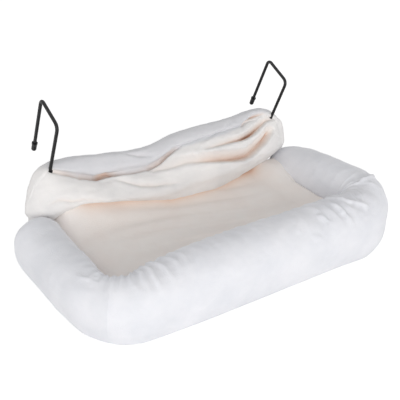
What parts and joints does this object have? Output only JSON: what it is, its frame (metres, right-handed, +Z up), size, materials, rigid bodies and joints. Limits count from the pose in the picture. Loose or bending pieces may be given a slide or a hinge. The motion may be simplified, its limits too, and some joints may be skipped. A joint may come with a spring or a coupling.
{
  "type": "hook-on plush pet bed",
  "caption": "Padded plush pet bed with a stuffed bolster on three sides, a slumped back panel and a folding hook frame that hangs it on a cage rail.",
  "frame": {"origin": "bottom centre of the bounding box, on the floor under the middle of the bed", "axes": "+Z up, front bolster towards -Y, the long side along X, the hooks at +Y"},
  "size_m": [0.4512, 0.2641, 0.1881],
  "materials": {
    "plush": "matte",
    "fleece": "matte",
    "base_cloth": "matte",
    "fibre_filling": "matte",
    "wadding": "matte",
    "coated_wire": "satin",
    "coated_tube": "satin",
    "cap_steel": "satin",
    "vinyl": "matte"
  },
  "bodies": {
    "bed": {"bolster_cover_left": "plush", "bolster_cover_front": "plush", "bolster_cover_right": "plush", "bolster_filling_left": "fibre_filling", "bolster_filling_front": "fibre_filling", "bolster_filling_right": "fibre_filling", "sleeping_pad_lining": "fleece", "sleeping_pad_wadding": "wadding", "base_cover": "base_cloth", "back_panel": "plush", "base_frame": "coated_wire", "rear_rail": "coated_wire", "pivot_cap_left": "cap_steel", "pivot_cap_right": "cap_steel"},
    "hook_frame": {"upright_tube_left": "coated_tube", "upright_tube_right": "coated_tube", "top_rail": "coated_wire", "rail_casing": "plush"},
    "left_hook": {"hook_left": "coated_wire", "hook_tip_left": "vinyl"},
    "right_hook": {"hook_right": "coated_wire", "hook_tip_right": "vinyl"}
  },
  "joints": [
    {"name": "hook_frame_fold", "type": "hinge", "parent": "bed", "child": "hook_frame", "pos_m": [0, 0.123, 0.0065], "axis": [1, 0, 0], "range_deg": [-20.6, 20], "deforming": ["back_panel"]},
    {"name": "hook_left_pull", "type": "slide", "parent": "hook_frame", "child": "left_hook", "axis": [0, -0.3518, 0.9361], "range_m": [0, 0.098]},
    {"name": "hook_right_pull", "type": "slide", "parent": "hook_frame", "child": "right_hook", "axis": [0, -0.3518, 0.9361], "range_m": [0, 0.098]}
  ]
}
